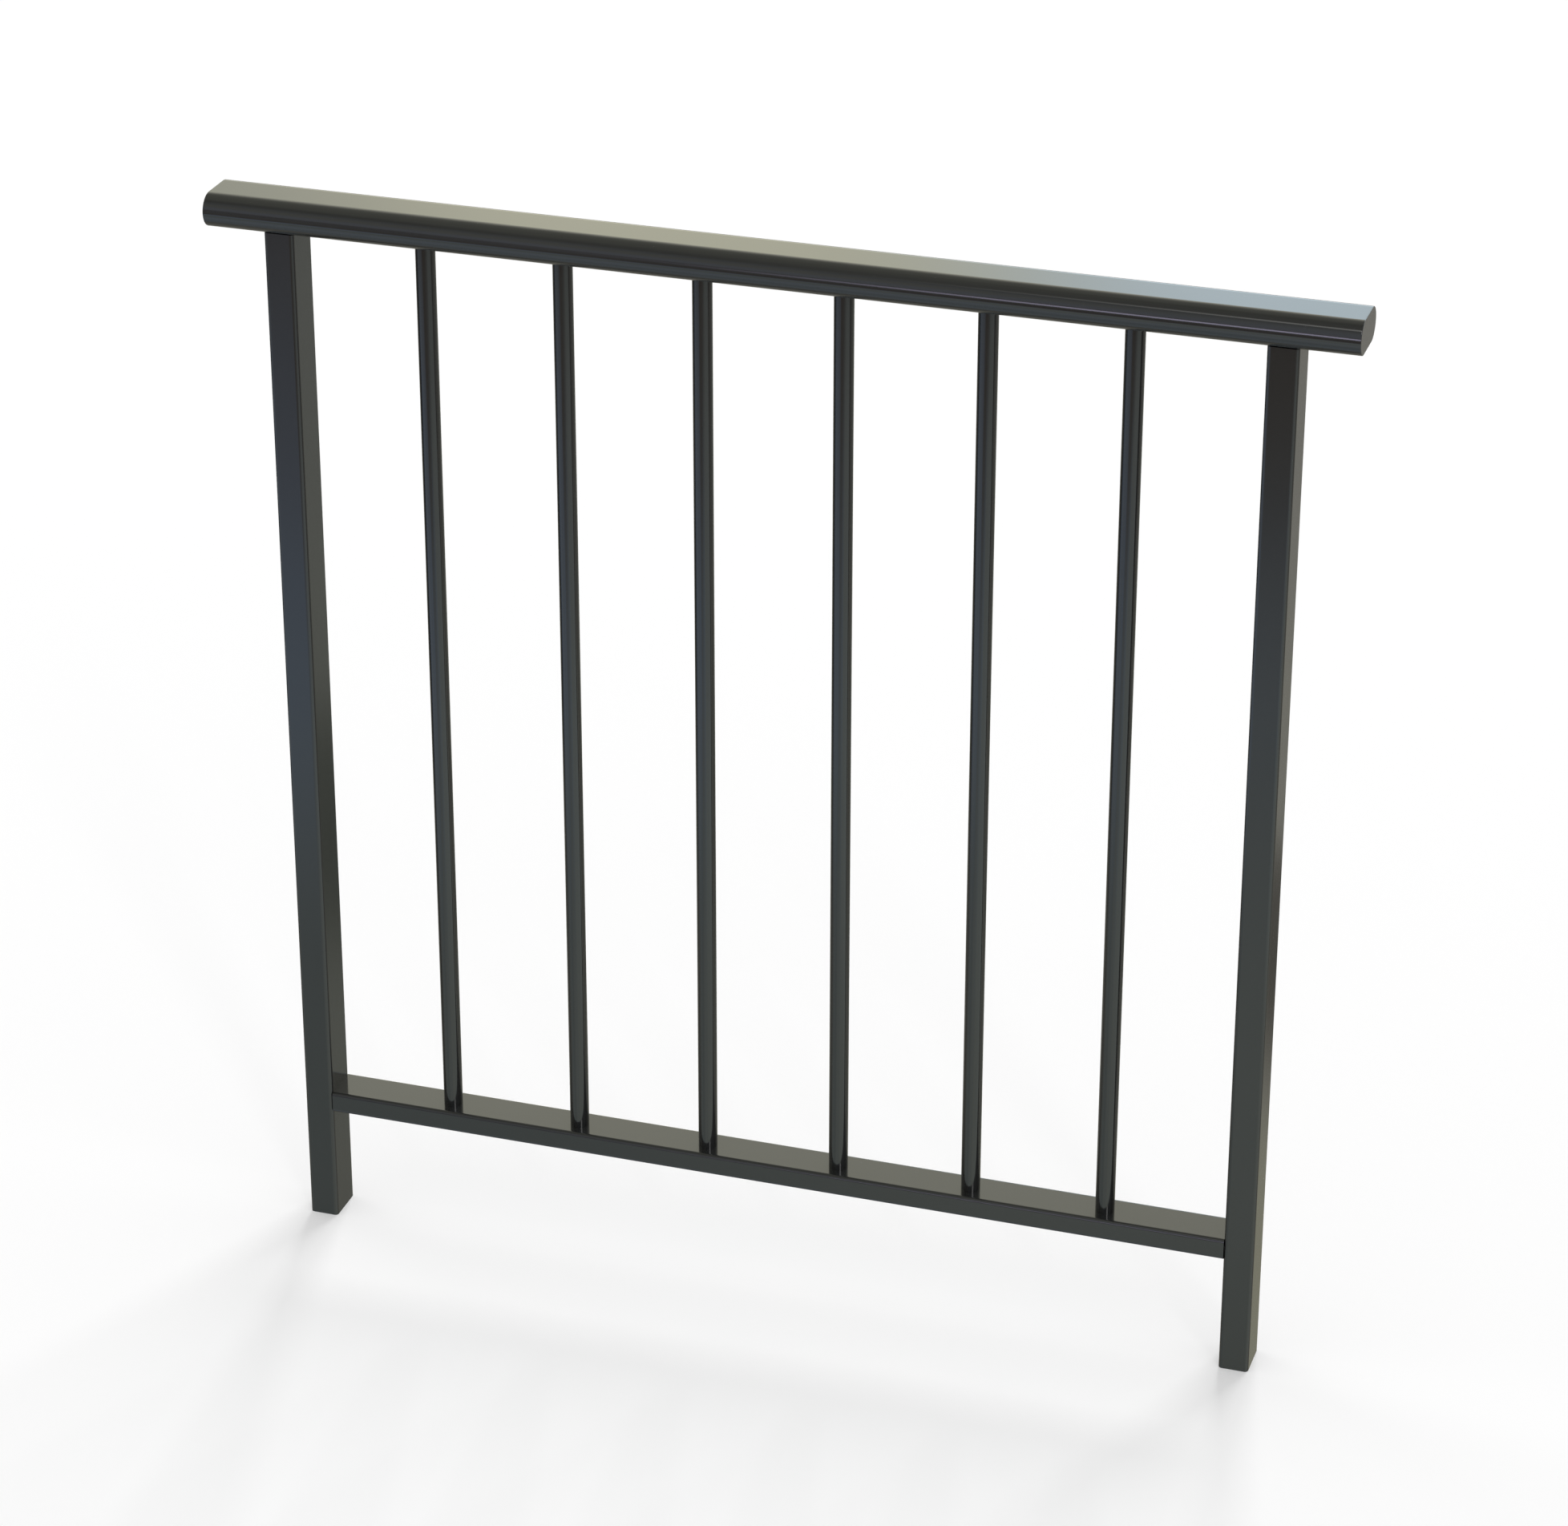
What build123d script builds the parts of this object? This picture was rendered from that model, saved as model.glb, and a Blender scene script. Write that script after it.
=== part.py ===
from build123d import *

import os

# Street barrier: a flat-sided oval handrail on two rectangular posts, with a bottom rail
# between the posts and six round bars between the bottom rail and the handrail.
# Millimetres. The origin is the centre of the left post's foot, on the ground.
# +X runs along the barrier to the right post, +Y points away from the viewer, +Z is up.

# Whole barrier
overall_height = 1000.0
handrail_length = 1000.0
post_spacing = 871.0
middle_x = post_spacing / 2

# Handrail: an oval tube with flat top and flat underside
handrail_width = 60.0
handrail_height = 30.0
handrail_wall = 2.0
end_cap_thickness = 2.0
end_cap_edge = 0.5

# Posts: rectangular tube with rounded corners
post_width = 27.0
post_depth = 40.0
post_corner = 3.5
post_wall = 2.0
foot_plug_thickness = 4.0

# Bottom rail: rectangular tube laid flat, its ends butted against the posts
rail_depth = 40.0
rail_height = 20.0
rail_corner = 3.0
rail_wall = 2.0
rail_underside = 112.0

# Bars: round tube, from the top of the bottom rail to the underside of the handrail
bar_count = 6
bar_diameter = 17.2
bar_wall = 2.0
bar_spacing = 123.75

# Heights that follow from the sizes above
handrail_underside = overall_height - handrail_height
handrail_middle_z = overall_height - handrail_height / 2
rail_top = rail_underside + rail_height
rail_middle_z = rail_underside + rail_height / 2


def oval_section(inset=0.0):
    """The handrail's section: two flats joined by half circles, drawn smaller by inset."""
    flat = handrail_width - handrail_height
    return SlotCenterToCenter(flat, handrail_height - 2 * inset)


def rounded_section(width, depth, corner, inset=0.0):
    """A rectangular tube's section, its corners rounded, drawn smaller by inset."""
    return RectangleRounded(width - 2 * inset, depth - 2 * inset, corner - inset)


def along_barrier(section, x_start, length, z_middle):
    """Pushes a section, drawn with its width along Y, from x_start along the barrier."""
    start = Plane(origin=(x_start, 0, z_middle), x_dir=(0, 1, 0), z_dir=(1, 0, 0))
    return extrude(start * section, amount=length)


def upright(section, x, z_bottom, z_top):
    """Stands a section up at x, from z_bottom to z_top."""
    foot = Plane(origin=(x, 0, z_bottom), x_dir=(1, 0, 0), z_dir=(0, 0, 1))
    return extrude(foot * section, amount=z_top - z_bottom)


def handrail_outside():
    """The handrail's full oval, end to end, with no hollow."""
    left_end = middle_x - handrail_length / 2
    return along_barrier(oval_section(), left_end, handrail_length, handrail_middle_z)


def make_handrail():
    """An oval tube, shorter than the whole handrail by the two end caps."""
    left_end = middle_x - handrail_length / 2 + end_cap_thickness
    tube_length = handrail_length - 2 * end_cap_thickness
    outside = along_barrier(oval_section(), left_end, tube_length, handrail_middle_z)
    inside = along_barrier(oval_section(handrail_wall), left_end, tube_length, handrail_middle_z)
    return outside - inside


def make_end_cap(side):
    """A plate of the handrail's full section, its outer edge eased all round."""
    outer_x = middle_x + side * handrail_length / 2
    inner_x = outer_x - side * end_cap_thickness
    plate = along_barrier(oval_section(), min(outer_x, inner_x), end_cap_thickness, handrail_middle_z)
    outer_face = plate.faces().sort_by(Axis.X)[-1 if side > 0 else 0]
    return chamfer(outer_face.edges(), end_cap_edge)


def make_post(x):
    """A rectangular tube whose head is cut to follow the handrail's rounded underside."""
    outside = upright(rounded_section(post_width, post_depth, post_corner), x, 0, handrail_middle_z)
    inside = upright(
        rounded_section(post_width, post_depth, post_corner, post_wall), x, 0, handrail_middle_z
    )
    return outside - inside - handrail_outside()


def make_foot_plug(x):
    """A plate that closes the post's foot, let into the tube and flush with its end."""
    section = rounded_section(post_width, post_depth, post_corner, post_wall)
    return upright(section, x, 0, foot_plug_thickness)


def make_bottom_rail():
    """A rectangular tube between the inner faces of the posts."""
    start = post_width / 2
    length = post_spacing - post_width
    outside = along_barrier(
        rounded_section(rail_depth, rail_height, rail_corner), start, length, rail_middle_z
    )
    inside = along_barrier(
        rounded_section(rail_depth, rail_height, rail_corner, rail_wall),
        start,
        length,
        rail_middle_z,
    )
    return outside - inside


def make_bar(x):
    """A round tube standing on the bottom rail and reaching the handrail's flat underside."""
    radius = bar_diameter / 2
    section = Circle(radius) - Circle(radius - bar_wall)
    return upright(section, x, rail_top, handrail_underside)


def bar_positions():
    """The bars' places along the barrier, evenly spaced about its middle."""
    first = middle_x - bar_spacing * (bar_count - 1) / 2
    return [first + number * bar_spacing for number in range(bar_count)]


pieces = {
    "handrail": make_handrail(),
    "handrail_end_cap_left": make_end_cap(-1),
    "handrail_end_cap_right": make_end_cap(1),
    "post_left": make_post(0),
    "post_right": make_post(post_spacing),
    "post_foot_plug_left": make_foot_plug(0),
    "post_foot_plug_right": make_foot_plug(post_spacing),
    "bottom_rail": make_bottom_rail(),
}
for number, bar_x in enumerate(bar_positions(), start=1):
    pieces[f"bar_{number}"] = make_bar(bar_x)

os.makedirs("parts", exist_ok=True)
for name, piece in pieces.items():
    export_step(piece, f"parts/{name}.step")
    print(name, round(piece.volume), "cubic mm")
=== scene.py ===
# %% [markdown]
# # A street barrier in gloss black-grey coat
#
# The real barrier is steel tube, welded and then powder coated: an oval handrail on two
# rectangular posts, a bottom rail, and six round bars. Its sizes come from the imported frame, and
# this script gives every tube a smooth skin, one coat, and a plain studio to stand in.

# %% Load the frame
import math

import bpy
import numpy as np
from mathutils import Matrix, Vector


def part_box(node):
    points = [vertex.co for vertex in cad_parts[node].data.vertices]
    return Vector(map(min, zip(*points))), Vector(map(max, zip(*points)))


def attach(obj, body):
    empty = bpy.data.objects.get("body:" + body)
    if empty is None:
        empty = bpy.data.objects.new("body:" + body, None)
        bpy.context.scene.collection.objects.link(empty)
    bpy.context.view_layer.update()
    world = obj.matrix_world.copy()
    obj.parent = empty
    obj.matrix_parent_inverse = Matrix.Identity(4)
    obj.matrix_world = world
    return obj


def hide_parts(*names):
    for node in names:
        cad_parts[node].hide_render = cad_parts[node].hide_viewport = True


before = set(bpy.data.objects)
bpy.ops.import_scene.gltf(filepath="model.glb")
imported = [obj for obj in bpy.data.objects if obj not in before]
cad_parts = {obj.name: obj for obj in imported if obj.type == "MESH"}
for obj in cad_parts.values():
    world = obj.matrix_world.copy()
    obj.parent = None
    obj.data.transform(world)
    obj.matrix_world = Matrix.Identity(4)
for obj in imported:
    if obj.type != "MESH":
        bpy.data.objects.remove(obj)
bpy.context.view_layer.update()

MM = 0.001

# %% [markdown]
# ## The camera
#
# A long lens from well back keeps the posts nearly parallel, as a product picture does. The
# camera is given as an azimuth, an elevation and a small roll, because these three say more to a
# reader than a matrix. A camera looks along its own -Z, so its three axes are worked out first
# and then set as the columns of one matrix.

# %% Place the camera
CAMERA_PLACE = Vector((1.59169, -3.58794, 2.36753))
CAMERA_AZIMUTH = math.radians(17.7154)
CAMERA_ELEVATION = math.radians(26.0368)
CAMERA_ROLL = math.radians(0.0615)
CAMERA_LENS = 110.858


def camera_axes(azimuth, elevation, roll):
    """Back is the direction from the object to the camera: (sin a cos e, -cos a cos e, sin e).
    Right is level and square to it, up is square to both, and the roll turns those two."""
    back = Vector((
        math.sin(azimuth) * math.cos(elevation),
        -math.cos(azimuth) * math.cos(elevation),
        math.sin(elevation),
    ))
    level = (-back).cross(Vector((0, 0, 1))).normalized()
    upright = back.cross(level)
    right = math.cos(roll) * level + math.sin(roll) * upright
    up = math.cos(roll) * upright - math.sin(roll) * level
    return right, up, back


camera_data = bpy.data.cameras.new("view")
camera_data.lens = CAMERA_LENS
camera = bpy.data.objects.new("view", camera_data)
bpy.context.scene.collection.objects.link(camera)
turn = Matrix(camera_axes(CAMERA_AZIMUTH, CAMERA_ELEVATION, CAMERA_ROLL)).transposed()
camera.matrix_world = Matrix.Translation(CAMERA_PLACE) @ turn.to_4x4()
bpy.context.scene.camera = camera
print("camera at", [round(v, 3) for v in camera.location], "lens", CAMERA_LENS, "mm")

# %% [markdown]
# ## Sizes from the frame
#
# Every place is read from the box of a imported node, so the skins sit where the tubes are. The box
# can't tell a wall's thickness or a corner's radius, so these few are written here in metres.

# %% Read the sizes
POST_CORNER = 3.5 * MM
WALL = 2.0 * MM

handrail_low, handrail_high = (np.array(v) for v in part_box("handrail"))
rail_low, rail_high = (np.array(v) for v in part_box("bottom_rail"))
handrail_width, handrail_height = (handrail_high - handrail_low)[1:]
handrail_middle = (handrail_low + handrail_high) / 2
handrail_underside = handrail_low[2]
bar_names = sorted(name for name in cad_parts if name.startswith("bar_"))
print("handrail section:", round(handrail_width, 4), "x", round(handrail_height, 4))
print("bars:", bar_names)

# %% [markdown]
# ## One outline for every tube
#
# All the tubes here are rounded rectangles: the handrail's corners are so large that its short
# sides vanish, and a round bar is all corner. So one formula draws every section. Each flat has
# two points close to its ends. They keep its shading truly flat, because a smooth normal is the
# mean of the faces round a point, and a curve next door would otherwise tilt it.

# %% Draw an outline
FLAT_PLACES = np.concatenate([[0.01], np.linspace(0.1, 0.9, 9), [0.99]])
SAME_POINT = 1e-9
OVAL_STEPS = 48


def outline(width, depth, corner, steps, inset=0.0):
    """Four corner centres, each plus (corner - inset) times (cos t, sin t) over its own quarter
    turn, joined by points along the flats. Anticlockwise, shape (points, 2)."""
    signs = np.array([[1, 1], [-1, 1], [-1, -1], [1, -1]])
    centres = signs * [width / 2 - corner, depth / 2 - corner]
    angle = np.arange(4)[:, None] * math.pi / 2 + np.linspace(0, math.pi / 2, steps + 1)
    arcs = centres[:, None] + (corner - inset) * np.stack([np.cos(angle), np.sin(angle)], -1)
    starts, ends = arcs[:, -1:], np.roll(arcs[:, :1], -1, axis=0)
    flats = starts + FLAT_PLACES[:, None] * (ends - starts)
    points = np.concatenate([arcs, flats], axis=1).reshape(-1, 2)
    gap = np.linalg.norm(np.roll(points, -1, axis=0) - points, axis=1)
    return points[gap > SAME_POINT]


handrail_section = outline(handrail_width, handrail_height, handrail_height / 2, OVAL_STEPS)
print("points round the handrail:", len(handrail_section))

# %% [markdown]
# ## Rings into a mesh
#
# A tube is the outline repeated as rings: up the outside, over the end, down the inside, and back
# to the start, so that the surface closes on itself like a ring doughnut. A plate has rings too,
# with one flat face at each end instead. Either way the faces are four neighbours on a grid of
# numbers, worked out for the whole piece at once.

# %% Turn rings into a piece
SHARP = math.radians(30)


def upright_rings(points, height):
    """Rings in space from outlines in X and Y: points (rings, around, 2), height broadcast to Z."""
    z = np.broadcast_to(height, points.shape[:2])
    return np.concatenate([points, z[..., None]], axis=-1)


def lengthwise_rings(points, place):
    """Rings in space from outlines in Y and Z: place is broadcast to X, along the barrier."""
    x = np.broadcast_to(place, points.shape[:2])
    return np.concatenate([x[..., None], points], axis=-1)


def make_piece(name, rings, node, material, closed=True):
    """Point (i, j) joins (i, j+1), (i+1, j+1) and (i+1, j). Round the outline j wraps. If closed,
    i wraps too, and otherwise the first and last rings are filled with one flat face each."""
    count, around = rings.shape[:2]
    number = np.arange(count * around).reshape(count, around)
    beyond = np.roll(number, -1, axis=0)
    quads = np.stack([number, np.roll(number, -1, 1), np.roll(beyond, -1, 1), beyond], axis=-1)
    faces = quads[: count if closed else count - 1].reshape(-1, 4).tolist()
    if not closed:
        faces += [number[0, ::-1].tolist(), number[-1].tolist()]
    mesh = bpy.data.meshes.new(name)
    mesh.from_pydata(rings.reshape(-1, 3).tolist(), [], faces)
    mesh.polygons.foreach_set("use_smooth", np.ones(len(mesh.polygons), dtype=bool))
    mesh.set_sharp_from_angle(angle=SHARP)
    mesh.materials.append(material)
    piece = bpy.data.objects.new(name, mesh)
    bpy.context.scene.collection.objects.link(piece)
    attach(piece, "root")
    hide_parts(node)
    print(name, "faces", len(mesh.polygons), "replaces", node)


print("edges stay sharp from", round(math.degrees(SHARP)), "degrees")

# %% [markdown]
# ## The coat
#
# Powder coat is sprayed on as dust and melted in an oven. It flows into a deep gloss, but never
# quite flat: it keeps a fine ripple, called orange peel, of a few millimetres across and a few
# thousandths high. A very dark base with a sharp reflection gives the look, since nearly all the
# light that comes off it is mirrored. The colour and the gloss drift a little over the length,
# as they do where the dust lay thicker. Both drifts read Object coordinates, so that the pattern
# runs on from tube to tube and stays with the barrier.

# %% Make the coat
COAT_DARK = (0.0150, 0.0158, 0.0155, 1)
COAT_LIGHT = (0.0195, 0.0200, 0.0190, 1)
COAT_IOR = 1.5
ROUGHNESS_ENDS = {"To Min": 0.085, "To Max": 0.125}
DRIFT = {"Scale": 5.0, "Detail": 3.0}
PEEL = {"Scale": 320.0, "Detail": 1.0}
PEEL_HEIGHT = 0.0025 * MM

# A Mix node that is set to colour has its two colours in sockets 6 and 7, and its result in 2.
MIX_FIRST, MIX_SECOND, MIX_RESULT = 6, 7, 2


def add_node(tree, kind, settings=None, inputs=None):
    """One node, with its own settings by attribute name and its sockets' values by socket name."""
    node = tree.nodes.new(kind)
    for key, value in (settings or {}).items():
        setattr(node, key, value)
    for key, value in (inputs or {}).items():
        node.inputs[key].default_value = value
    return node


def make_coat():
    """Base colour and roughness follow a slow noise, and the bump follows a fine one."""
    material = bpy.data.materials.new("gloss_powder_coat")
    material.use_nodes = True
    tree = material.node_tree
    shader = tree.nodes["Principled BSDF"]
    shader.inputs["IOR"].default_value = COAT_IOR
    place = add_node(tree, "ShaderNodeTexCoord")
    drift = add_node(tree, "ShaderNodeTexNoise", inputs=DRIFT)
    tone = add_node(tree, "ShaderNodeMix", {"data_type": "RGBA"})
    tone.inputs[MIX_FIRST].default_value = COAT_DARK
    tone.inputs[MIX_SECOND].default_value = COAT_LIGHT
    gloss = add_node(tree, "ShaderNodeMapRange", inputs=ROUGHNESS_ENDS)
    peel = add_node(tree, "ShaderNodeTexNoise", inputs=PEEL)
    bump = add_node(tree, "ShaderNodeBump", inputs={"Distance": PEEL_HEIGHT})
    tree.links.new(place.outputs["Object"], drift.inputs["Vector"])
    tree.links.new(place.outputs["Object"], peel.inputs["Vector"])
    tree.links.new(drift.outputs["Fac"], tone.inputs["Factor"])
    tree.links.new(drift.outputs["Fac"], gloss.inputs["Value"])
    tree.links.new(peel.outputs["Fac"], bump.inputs["Height"])
    tree.links.new(tone.outputs[MIX_RESULT], shader.inputs["Base Color"])
    tree.links.new(gloss.outputs["Result"], shader.inputs["Roughness"])
    tree.links.new(bump.outputs["Normal"], shader.inputs["Normal"])
    return material


coat = make_coat()
print("coat:", coat.name, "orange peel cells of", round(1 / PEEL["Scale"] / MM, 1), "mm")

# %% [markdown]
# ## The handrail
#
# A flat-sided oval tube, 60 by 30 millimetres, with nothing along it but its own long highlight.
# A profile carried along a straight line is enough, if the half circles have many points: the
# light bands in the gloss run the whole length, and a coarse curve would break them into steps.
# The bottom rail and the bars are straight tubes too, so one function carries all three profiles.

# %% Make the handrail tube
STATIONS = 25


def straight_tube(outer, bore, low, high):
    """The outer outline at each station from low to high, then the bore's outline at each on the
    way back: the outlines, shape (rings, around, 2), and the place of each ring."""
    along = np.linspace(low, high, STATIONS)
    outlines = np.repeat([outer, bore], STATIONS, axis=0)
    return outlines, np.concatenate([along, along[::-1]])[:, None]


def oval(inset=0.0):
    """The handrail's section about its own middle, in Y and Z."""
    corner = handrail_height / 2
    section = outline(handrail_width, handrail_height, corner, OVAL_STEPS, inset)
    return section + handrail_middle[1:]


handrail_tube = straight_tube(oval(), oval(WALL), handrail_low[0], handrail_high[0])
make_piece("oval_handrail", lengthwise_rings(*handrail_tube), "handrail", coat)

# %% [markdown]
# ## The end plates
#
# A flat plate closes each end, ground flush with the tube and eased at its edge, where the coat
# catches one thin light line. The quarter circle of the edge is a few rings with a growing inset,
# and one more ring just inside it keeps the plate's face flat.

# %% Make the end plates
EDGE = 0.5 * MM
NEAR = 0.3 * MM
EDGE_STEPS = 6
edge_turn = np.linspace(0, math.pi / 2, EDGE_STEPS + 1)
edge_across = EDGE * (1 - np.cos(edge_turn))
edge_along = EDGE * (1 - np.sin(edge_turn))


def end_plate_rings(node, side):
    """Rings from the tube's end outwards: full size up to the edge, then a quarter circle in
    which the inset is r (1 - cos t) and the place is r (1 - sin t) short of the end."""
    low, high = (corner[0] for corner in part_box(node))
    inner, outer = (low, high) if side > 0 else (high, low)
    inset = np.concatenate([[0.0], edge_across, [EDGE + NEAR]])
    place = np.concatenate([[inner], outer - side * edge_along, [outer]])
    rings = lengthwise_rings(np.stack([oval(value) for value in inset]), place[:, None])
    return rings if side > 0 else rings[::-1]


for word, side in (("left", -1), ("right", 1)):
    node = f"handrail_end_cap_{word}"
    make_piece(f"end_plate_{word}", end_plate_rings(node, side), node, coat, closed=False)

# %% [markdown]
# ## The posts
#
# Each post is rectangular tube, deeper than it is wide, sawn square and stood against the
# handrail's flat underside. It is a little deeper than that flat, so at front and back the oval
# curves away above its edge and leaves a fine wedge of shade, which draws the dark line under the
# handrail. The welds are thin and dressed flush, and no bead is left to model.

# %% Make the posts
TUBE_STEPS = 16


def post_rings(node):
    """Up the outside: the foot's eased edge, then the shaft to the handrail's underside. Then
    down the inside wall to the foot."""
    low, high = (np.array(corner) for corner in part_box(node))
    middle, size = (low + high)[:2] / 2, (high - low)[:2]
    shaft = np.linspace(EDGE + NEAR, handrail_underside, STATIONS)
    level = np.concatenate([edge_across, shaft, shaft[::-1], [0.0]])
    inset = np.concatenate([edge_along, 0 * shaft, WALL + 0 * shaft, [WALL]])
    points = np.stack([outline(*size, POST_CORNER, TUBE_STEPS, value) for value in inset])
    return upright_rings(points + middle, level[:, None])


for word in ("left", "right"):
    make_piece(f"post_tube_{word}", post_rings(f"post_{word}"), f"post_{word}", coat)

# %% [markdown]
# ## The bottom rail
#
# A smaller rectangular tube laid flat between the posts. Its front is flush with theirs, and
# where the post's rounded corner falls away beside its end there is a fine groove, as on the real
# one. It is cut square, so its profile runs straight from post to post.

# %% Make the bottom rail
RAIL_CORNER = 3.0 * MM


def rail_section(inset=0.0):
    """The rail's section in Y and Z."""
    size = (rail_high - rail_low)[1:]
    return outline(*size, RAIL_CORNER, TUBE_STEPS, inset) + (rail_low + rail_high)[1:] / 2


rail_tube = straight_tube(rail_section(), rail_section(WALL), rail_low[0], rail_high[0])
make_piece("bottom_rail_tube", lengthwise_rings(*rail_tube), "bottom_rail", coat)

# %% [markdown]
# ## The bars
#
# Six round tubes stand on the bottom rail and reach the handrail's flat underside. A circle is
# the outline with nothing but corner, so the bars use the same functions as everything else, and
# one loop makes all six from their nodes' boxes.

# %% Make the bars
def bar_rings(node):
    """The bar's circle carried straight up from the bottom rail to the handrail."""
    low, high = (np.array(corner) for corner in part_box(node))
    middle, size = (low + high)[:2] / 2, (high - low)[:2]
    circle, bore = (outline(*size, size[0] / 2, TUBE_STEPS, inset) + middle for inset in (0.0, WALL))
    return upright_rings(*straight_tube(circle, bore, low[2], high[2]))


for node in bar_names:
    make_piece(node.replace("bar_", "bar_tube_"), bar_rings(node), node, coat)

# %% [markdown]
# ## The foot plates
#
# The plates let into the posts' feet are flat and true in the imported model, so they stay as they
# are and only take the coat.

# %% Coat the foot plates
for word in ("left", "right"):
    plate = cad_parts[f"post_foot_plug_{word}"]
    plate.data.materials.clear()
    plate.data.materials.append(coat)
    print(plate.name, "keeps its own shape")

# %% [markdown]
# ## The floor
#
# A plain pale sweep that the barrier stands on. Most of what the camera sees of it is lit, so it
# takes the barrier's shadow. The rest is plain white that only the camera sees: it lightens the
# shadows as a bright studio floor does, and adds no light to the barrier. From below the floor is
# see-through, so that a view from underneath isn't blocked. The coat's reflection of the ground
# comes from the surroundings further down, so the floor itself is left out of reflections.

# %% Lay the floor
FLOOR_HALF = 80.0
FLOOR_COLOUR = (0.98, 0.98, 0.98, 1)
WHITE = (1.0, 1.0, 1.0, 1)
WHITE_SHARE = 0.28


def make_floor():
    """One square, transparent from below. Above it is matt, and for the camera a share of it is
    plain white: share = WHITE_SHARE times Is Camera Ray."""
    half = FLOOR_HALF
    corners = [(-half, -half, 0), (half, -half, 0), (half, half, 0), (-half, half, 0)]
    mesh = bpy.data.meshes.new("floor")
    mesh.from_pydata(corners, [], [(0, 1, 2, 3)])
    material = bpy.data.materials.new("pale_floor")
    material.use_nodes = True
    tree = material.node_tree
    tree.nodes.clear()
    matt = add_node(tree, "ShaderNodeBsdfDiffuse", inputs={"Color": FLOOR_COLOUR})
    white = add_node(tree, "ShaderNodeEmission", inputs={"Color": WHITE, "Strength": 1.0})
    path = add_node(tree, "ShaderNodeLightPath")
    share = add_node(tree, "ShaderNodeMath", {"operation": "MULTIPLY"})
    share.inputs[1].default_value = WHITE_SHARE
    above = add_node(tree, "ShaderNodeMixShader")
    clear = add_node(tree, "ShaderNodeBsdfTransparent")
    side = add_node(tree, "ShaderNodeNewGeometry")
    choice = add_node(tree, "ShaderNodeMixShader")
    output = add_node(tree, "ShaderNodeOutputMaterial")
    tree.links.new(path.outputs["Is Camera Ray"], share.inputs[0])
    tree.links.new(share.outputs[0], above.inputs["Fac"])
    tree.links.new(matt.outputs[0], above.inputs[1])
    tree.links.new(white.outputs[0], above.inputs[2])
    tree.links.new(side.outputs["Backfacing"], choice.inputs["Fac"])
    tree.links.new(above.outputs[0], choice.inputs[1])
    tree.links.new(clear.outputs[0], choice.inputs[2])
    tree.links.new(choice.outputs[0], output.inputs["Surface"])
    mesh.materials.append(material)
    floor = bpy.data.objects.new("floor", mesh)
    floor.visible_glossy = False
    bpy.context.scene.collection.objects.link(floor)
    return floor


floor = make_floor()
print(floor.name, "of", 2 * FLOOR_HALF, "m")

# %% [markdown]
# ## The lamps
#
# The shadows of the posts are crisp and run far, while the bottom rail throws hardly any. Light
# from tall, narrow windows does that: it is small across a post and long across a rail. So the
# lamps are upright panels, very far off, which keeps the light even over the whole floor. Two
# stand behind the barrier and two weaker ones fill from the sides. Each lamp's strength is given
# as its share of the light that falls on the floor, where the shares and the surroundings come
# to about one. At that level a colour renders about as it is written.

# %% Hang the lamps
FAR = 110.0
FLOOR_LIGHT = 1.02


def window_lamp(azimuth, width, elevation, share):
    """Angles in degrees: azimuth from +Y towards +X, width across, elevation (from, to)."""
    return {
        "azimuth": math.radians(azimuth),
        "width": math.radians(width),
        "elevation": [math.radians(angle) for angle in elevation],
        "share": share,
    }


LAMPS = {
    "behind_left": window_lamp(-8, 11, (7, 40), 0.15),
    "behind_right": window_lamp(12, 26, (7, 40), 0.20),
    "front_right": window_lamp(142, 7, (30, 54), 0.035),
    "far_left": window_lamp(-66, 25, (25, 60), 0.03),
}


def hang_lamp(name, azimuth, width, elevation, share):
    """An upright panel seen from the barrier over those angles. Its radiance L puts on the floor
    L / pi times width times half the difference of sin squared of its two elevations, and its
    power is pi times L times its area. It is seen neither in the gloss nor by the camera."""
    low, high = (FAR * math.tan(angle) for angle in elevation)
    spread = (math.sin(elevation[1]) ** 2 - math.sin(elevation[0]) ** 2) / 2
    radiance = share * math.pi / (width * spread)
    data = bpy.data.lights.new(name, "AREA")
    data.shape = "RECTANGLE"
    data.size = 2 * FAR * math.tan(width / 2)
    data.size_y = high - low
    data.energy = math.pi * radiance * data.size * data.size_y
    away = Vector((math.sin(azimuth), math.cos(azimuth), 0))
    lamp = bpy.data.objects.new(name, data)
    lamp.location = FAR * away + Vector((0, 0, (low + high) / 2))
    lamp.rotation_mode = "QUATERNION"
    lamp.rotation_quaternion = away.to_track_quat("Z", "Y")
    lamp.visible_glossy = False
    lamp.visible_camera = False
    bpy.context.scene.collection.objects.link(lamp)
    print(name, "radiance", round(radiance, 2), "share", share)


for name, lamp in LAMPS.items():
    hang_lamp(name, **lamp)
PLAIN_LEVEL = FLOOR_LIGHT - sum(lamp["share"] for lamp in LAMPS.values())
print("level of the surroundings:", round(PLAIN_LEVEL, 3))

# %% [markdown]
# ## The surroundings
#
# What a black gloss coat shows is nearly all reflection, so its look is made here. The world
# answers a ray by its kind. A camera ray sees plain white at a strength of one. A ray that
# scatters from matt colour gets one plain level. A glossy or transmitted ray sees the studio
# round the barrier: a dim room with soft panels in it, each a smooth window in azimuth and
# elevation. Most panels add light, as lamps, windows and pale ground do. A few have a negative
# strength and take a little away, as a dark screen beside a lamp does. The contrast between the
# two is what makes the coat read as glossy. Panels are worked out from the ray's direction, so
# every view, from any side, mirrors the same room.

# %% List the panels
ROOM = {"overhead": (0.35, 0.35, 0.31), "level": (0.35, 0.33, 0.36), "ground": (0.37, 0.36, 0.31)}

# The elevations in degrees from which the room has its full overhead tone and ground tone.
OVERHEAD_FROM = 50.0
GROUND_FROM = -25.0


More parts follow.
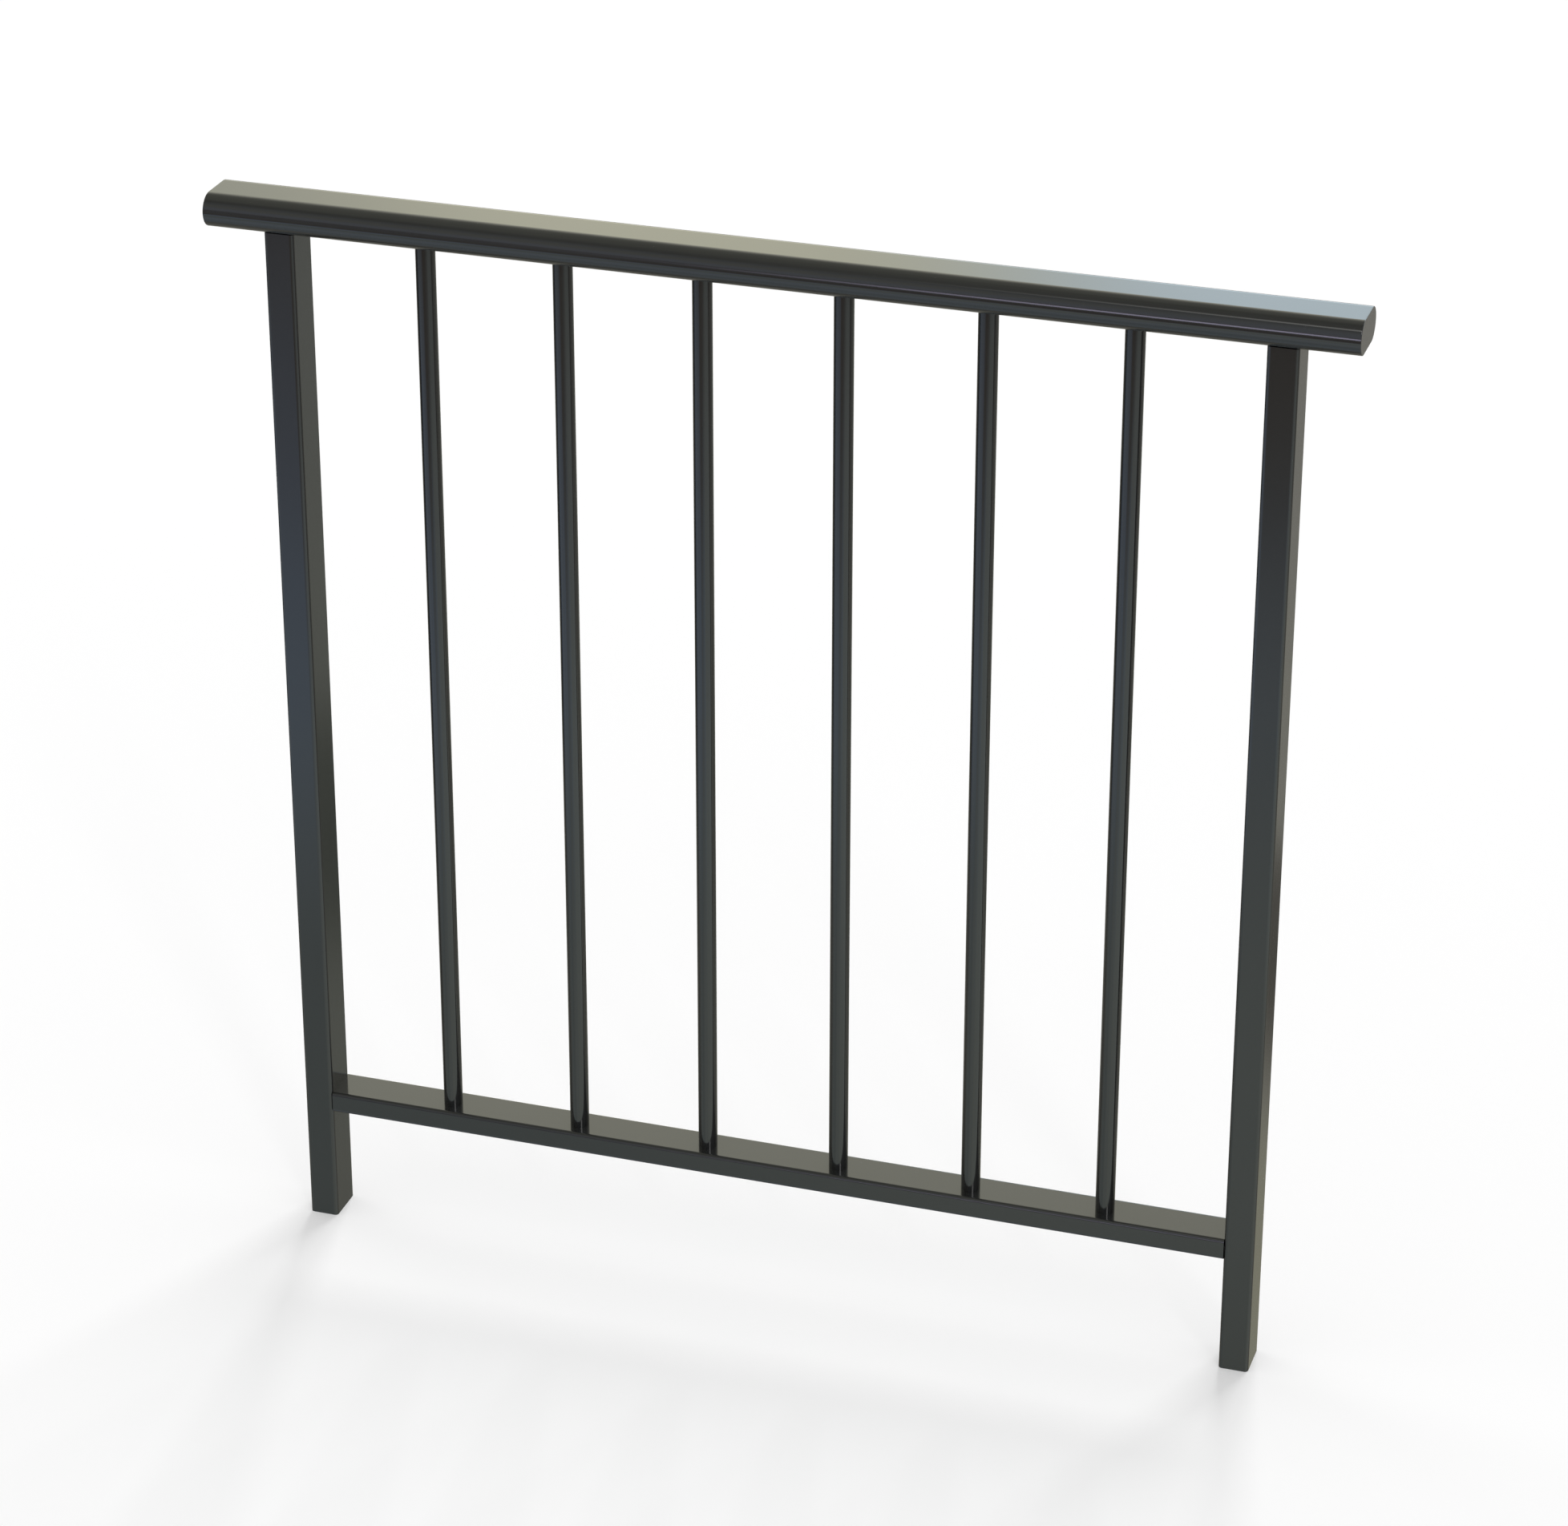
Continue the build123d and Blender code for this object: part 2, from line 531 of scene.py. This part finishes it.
def panel(azimuth, elevation, edges, colour, strength):
    """azimuth is (from, to) and elevation is (from, to), in degrees from +Y towards +X and above
    the horizon. edges are the degrees over which the light fades: beside, below and above."""
    return {
        "middle": sum(azimuth) / 2,
        "half_width": (azimuth[1] - azimuth[0]) / 2,
        "elevation": elevation,
        "edges": edges,
        "colour": colour,
        "strength": strength,
    }


PANELS = {
    # Behind the barrier and above the horizon.
    "back_wall": panel((-105, 45), (6, 26), (20, 8, 22), (1.00, 1.01, 0.78), 1.17),
    "back_upper": panel((-60, 20), (29, 41), (25, 5, 13), (1.00, 0.96, 0.85), 0.33),
    "back_glow": panel((-110, 45), (48, 70), (20, 14, 14), (1.00, 1.03, 0.80), 0.26),
    "warm_lamp": panel((-20.5, -17.5), (6, 20), (4.5, 6, 7), (1.00, 0.95, 0.65), 0.68),
    "cool_window": panel((-12, 62), (6, 22), (5, 6, 7), (0.45, 0.70, 1.00), 1.62),
    # In front: haze and lamps, and the shades that trim them.
    "front_haze": panel((110, 205), (10, 30), (40, 6, 30), (0.76, 0.88, 1.10), 0.52),
    "haze_shade": panel((198, 225), (26, 35), (8, 6, 10), (0.10, 0.30, 1.00), -0.20),
    "front_lamp": panel((160, 192.3), (-3.0, 2.0), (6.0, 2.5, 2.5), (0.79, 0.74, 1.00), 5.00),
    "lamp_shade": panel((184, 197), (-18, -13), (6, 4, 5), (0.90, 1.00, 0.90), -0.06),
    "overhead_lamp": panel((150, 196), (54, 57.5), (12, 4, 3.5), (1.00, 1.00, 0.97), 2.45),
    "overhead_glow": panel((160, 230), (62, 74), (25, 5, 8), (1.00, 1.00, 0.95), 0.11),
    "strip_lamp": panel((134.5, 145.5), (30, 54), (2, 3, 3), (1.00, 1.00, 1.00), 20.0),
    # The ground in front.
    "front_ground": panel((105, 228), (-90, -28), (38, 1, 6), (0.66, 0.90, 0.95), 0.48),
    "warm_ground": panel((150, 195), (-90, -29), (6, 1, 2), (1.00, 0.80, 0.10), 0.09),
    "low_ground": panel((150, 240), (-45, -39), (20, 14, 6), (0.30, 0.40, 1.00), 0.31),
    "low_shade": panel((150, 240), (-90, -56), (20, 1, 7), (1.00, 1.00, 0.30), -0.15),
    # The ground to the right.
    "right_ground": panel((99, 152), (-70, -23), (8, 20, 3), (1.00, 1.00, 0.82), 0.38),
    "right_glow": panel((104, 138), (-20.5, -16), (10, 3, 6), (0.80, 0.98, 1.00), 0.38),
    "right_low": panel((76, 92), (-34, -24.5), (9, 6, 3), (1.00, 1.03, 0.88), 0.40),
    "side_ground": panel((100, 166), (-26, -22.8), (8, 3.0, 2.0), (0.65, 0.95, 1.20), 0.32),
    # The ground a little further out, in front and to the left.
    "near_ground": panel((162, 192), (-31, -24.2), (10, 3, 1.5), (0.90, 1.00, 1.10), 0.22),
    "cool_ground": panel((206, 260), (-25.5, -22.0), (13, 2.6, 3.8), (0.44, 0.66, 1.05), 0.68),
    "cool_line": panel((155, 208), (-25.4, -23.6), (12, 1.2, 1.2), (0.25, 0.50, 1.00), 0.32),
    "front_shade": panel((165, 206), (-22.5, -16), (14, 1.8, 5), (0.55, 0.90, 0.95), -0.15),
    "left_shade": panel((-94, -66), (-25, -5), (18, 3.5, 10), (1.00, 0.96, 0.85), -0.30),
    # The ground behind.
    "back_shade": panel((5, 18), (-28.5, -27.2), (6, 1.8, 0.7), (1.00, 1.00, 0.85), -0.22),
    "back_dim": panel((3, 27), (-33, -28), (5, 1, 1.5), (1.00, 1.00, 1.00), -0.03),
    "back_ground": panel((-5, 14), (-60, -31), (4, 10, 1.5), (1.00, 1.00, 0.40), 0.08),
    "far_haze": panel((17, 40), (-29, -12), (6, 4, 10), (0.70, 1.00, 0.90), 0.08),
    "far_shade": panel((20, 34), (-27.0, -25.8), (4, 1.8, 1.0), (1.00, 1.00, 0.90), -0.26),
}
print("panels:", ", ".join(PANELS))

# %% [markdown]
# ## From panels to shader nodes
#
# A world shader is a chain of small sums, so each sum that is needed more than once has a helper:
# one for arithmetic, one for a soft fade and a few for colours. A panel is then one function, and
# a loop adds them all up. The last step picks a whole shader by the kind of ray, so the long sum
# is only worked out for the rays that need it.

# %% Build the surroundings
def calculate(tree, operation, *values):
    """One Math node. A value is a number or another node's output."""
    node = add_node(tree, "ShaderNodeMath", {"operation": operation})
    for socket, value in zip(node.inputs, values):
        if isinstance(value, (int, float)):
            socket.default_value = value
        else:
            tree.links.new(value, socket)
    return node.outputs["Value"]


def fade(tree, value, full, gone):
    """1 at full, falling in a smooth step to 0 at gone, whichever of the two is the larger."""
    ends = {"From Min": full, "From Max": gone, "To Min": 1.0, "To Max": 0.0}
    node = add_node(tree, "ShaderNodeMapRange", {"interpolation_type": "SMOOTHSTEP"}, ends)
    tree.links.new(value, node.inputs["Value"])
    return node.outputs["Result"]


def combine(tree, operation, first, second):
    """One Vector Math node on two colours, or on a colour and a factor for SCALE."""
    node = add_node(tree, "ShaderNodeVectorMath", {"operation": operation})
    tree.links.new(first, node.inputs[0])
    tree.links.new(second, node.inputs["Scale"] if operation == "SCALE" else node.inputs[1])
    return node.outputs["Vector"]


def fixed_colour(tree, colour):
    """A colour as an output that other nodes can read."""
    node = add_node(tree, "ShaderNodeRGB")
    node.outputs[0].default_value = (*colour, 1)
    return node.outputs[0]


def blend_colours(tree, factor, first, second):
    """first where the factor is 0, second where it is 1."""
    node = add_node(tree, "ShaderNodeMix", {"data_type": "RGBA", "clamp_factor": True})
    tree.links.new(factor, node.inputs["Factor"])
    tree.links.new(first, node.inputs[MIX_FIRST])
    tree.links.new(second, node.inputs[MIX_SECOND])
    return node.outputs[MIX_RESULT]


def shine(tree, colour):
    """A Background shader of that colour, at a strength of one."""
    node = add_node(tree, "ShaderNodeBackground", inputs={"Strength": 1.0})
    tree.links.new(colour, node.inputs["Color"])
    return node.outputs["Background"]


def choose(tree, factor, first, second):
    """The first shader where the factor is 0 and the second where it is 1. The one that isn't
    chosen costs no time, because the render engine passes over its nodes."""
    node = add_node(tree, "ShaderNodeMixShader")
    tree.links.new(factor, node.inputs["Fac"])
    tree.links.new(first, node.inputs[1])
    tree.links.new(second, node.inputs[2])
    return node.outputs["Shader"]


def panel_light(tree, x, y, elevation, light):
    """The panel's colour times its strength and three fades: beside, below and above it. The
    angle to its middle line is the arc tangent of the ray's sideways over its forward share."""
    middle = math.radians(light["middle"])
    sideways = calculate(
        tree, "SUBTRACT",
        calculate(tree, "MULTIPLY", x, math.cos(middle)),
        calculate(tree, "MULTIPLY", y, math.sin(middle)),
    )
    forward = calculate(
        tree, "ADD",
        calculate(tree, "MULTIPLY", x, math.sin(middle)),
        calculate(tree, "MULTIPLY", y, math.cos(middle)),
    )
    turned = calculate(tree, "DEGREES", calculate(tree, "ARCTAN2", sideways, forward))
    beside, below, above = light["edges"]
    half, (low, high) = light["half_width"], light["elevation"]
    share = calculate(
        tree, "MULTIPLY",
        fade(tree, calculate(tree, "ABSOLUTE", turned), half, half + beside),
        fade(tree, elevation, low, low - below),
    )
    share = calculate(tree, "MULTIPLY", share, fade(tree, elevation, high, high + above))
    share = calculate(tree, "MULTIPLY", share, light["strength"])
    return combine(tree, "SCALE", fixed_colour(tree, light["colour"]), share)


def make_surroundings():
    """The room's tone follows elevation, the panels are added to it, and Light Path chooses."""
    world = bpy.data.worlds.new("studio")
    bpy.context.scene.world = world
    world.use_nodes = True
    world.cycles.sampling_method = "NONE"
    tree = world.node_tree
    tree.nodes.clear()
    ray = add_node(tree, "ShaderNodeTexCoord")
    parts = add_node(tree, "ShaderNodeSeparateXYZ")
    tree.links.new(ray.outputs["Generated"], parts.inputs[0])
    x, y, z = parts.outputs
    elevation = calculate(tree, "DEGREES", calculate(tree, "ARCSINE", z))
    tones = {name: fixed_colour(tree, colour) for name, colour in ROOM.items()}
    over = calculate(tree, "DIVIDE", elevation, OVERHEAD_FROM)
    under = calculate(tree, "DIVIDE", elevation, GROUND_FROM)
    studio = blend_colours(tree, over, tones["level"], tones["overhead"])
    studio = blend_colours(tree, under, studio, tones["ground"])
    for light in PANELS.values():
        studio = combine(tree, "ADD", studio, panel_light(tree, x, y, elevation, light))
    path = add_node(tree, "ShaderNodeLightPath")
    mirrored = calculate(
        tree, "MAXIMUM", path.outputs["Is Glossy Ray"], path.outputs["Is Transmission Ray"]
    )
    plain = shine(tree, fixed_colour(tree, (PLAIN_LEVEL,) * 3))
    white = shine(tree, fixed_colour(tree, (1.0, 1.0, 1.0)))
    seen = choose(tree, mirrored, plain, shine(tree, studio))
    seen = choose(tree, path.outputs["Is Camera Ray"], seen, white)
    output = add_node(tree, "ShaderNodeOutputWorld")
    tree.links.new(seen, output.inputs["Surface"])


make_surroundings()
print("surroundings:", bpy.context.scene.world.name)

# %% [markdown]
#
# The Standard transform shows a colour as it is, with no film curve.

# %% Finish
bpy.context.scene.view_settings.view_transform = "Standard"
